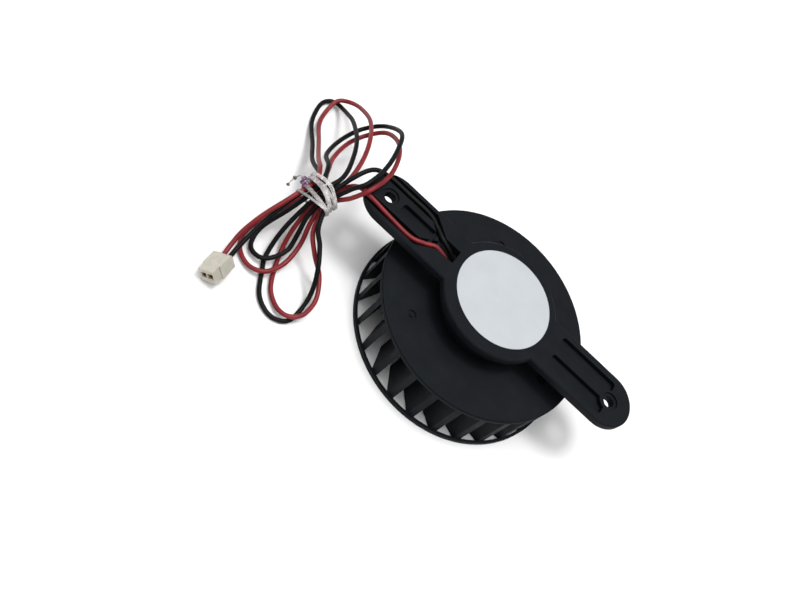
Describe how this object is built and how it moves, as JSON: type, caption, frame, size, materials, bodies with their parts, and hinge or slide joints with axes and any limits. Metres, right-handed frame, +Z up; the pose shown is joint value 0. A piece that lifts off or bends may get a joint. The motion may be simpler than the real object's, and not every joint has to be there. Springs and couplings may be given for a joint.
{
  "type": "cooling fan",
  "caption": "Flat black cooling fan: a strip bracket with screw holes holds an external-rotor motor and a bladed blower wheel, with tied red and black leads and a plug.",
  "frame": {"origin": "on the fan's axis, in the plane of the inlet ring's lower face, on which the fan lies", "axes": "+Z up, out of the bracket's label side; +X along the bracket's arm that carries no leads"},
  "size_m": [0.1498, 0.0954, 0.0316],
  "materials": {
    "black_plastic": "satin moulded",
    "label_film": "satin silver film",
    "brass": "turned",
    "bronze": "sintered, oiled",
    "black_rubber": "matte",
    "white_nylon": "moulded",
    "steel": "plain",
    "copper": "enamelled wire",
    "board_laminate": "lacquered",
    "chip_resin": "moulded",
    "aluminium_can": "drawn",
    "solder": "flowed",
    "red_pvc": "satin",
    "black_pvc": "satin",
    "ivory_nylon": "moulded",
    "clear_film": "film ribbon",
    "ferrite": "bonded"
  },
  "bodies": {
    "motor_frame": {"bracket": "black_plastic", "rating_label": "label_film", "bearing_tube": "brass", "sleeve_bearing": "bronze", "oil_seal": "black_rubber", "bearing_cap": "white_nylon", "stator_core": "steel", "lower_insulator": "white_nylon", "upper_insulator": "white_nylon", "stator_coils": "copper", "winding_pins": "brass", "circuit_board": "board_laminate", "hall_sensor": "chip_resin", "driver_chip": "chip_resin", "filter_capacitor": "aluminium_can", "chip_resistors": "chip_resin", "solder_joints": "solder", "red_lead": "red_pvc", "black_lead": "black_pvc", "plug_housing": "ivory_nylon", "plug_contacts": "brass", "wire_tie": "clear_film"},
    "wheel": {"impeller": "black_plastic", "rotor_yoke": "steel", "rotor_magnet": "ferrite", "shaft_bush": "brass", "rotor_shaft": "steel", "thrust_washer": "white_nylon", "retaining_clip": "steel"}
  },
  "joints": [
    {"name": "wheel_spin", "type": "hinge", "parent": "motor_frame", "child": "wheel", "pos_m": [0, 0, 0.018], "axis": [0, 0, 1], "continuous": true}
  ]
}
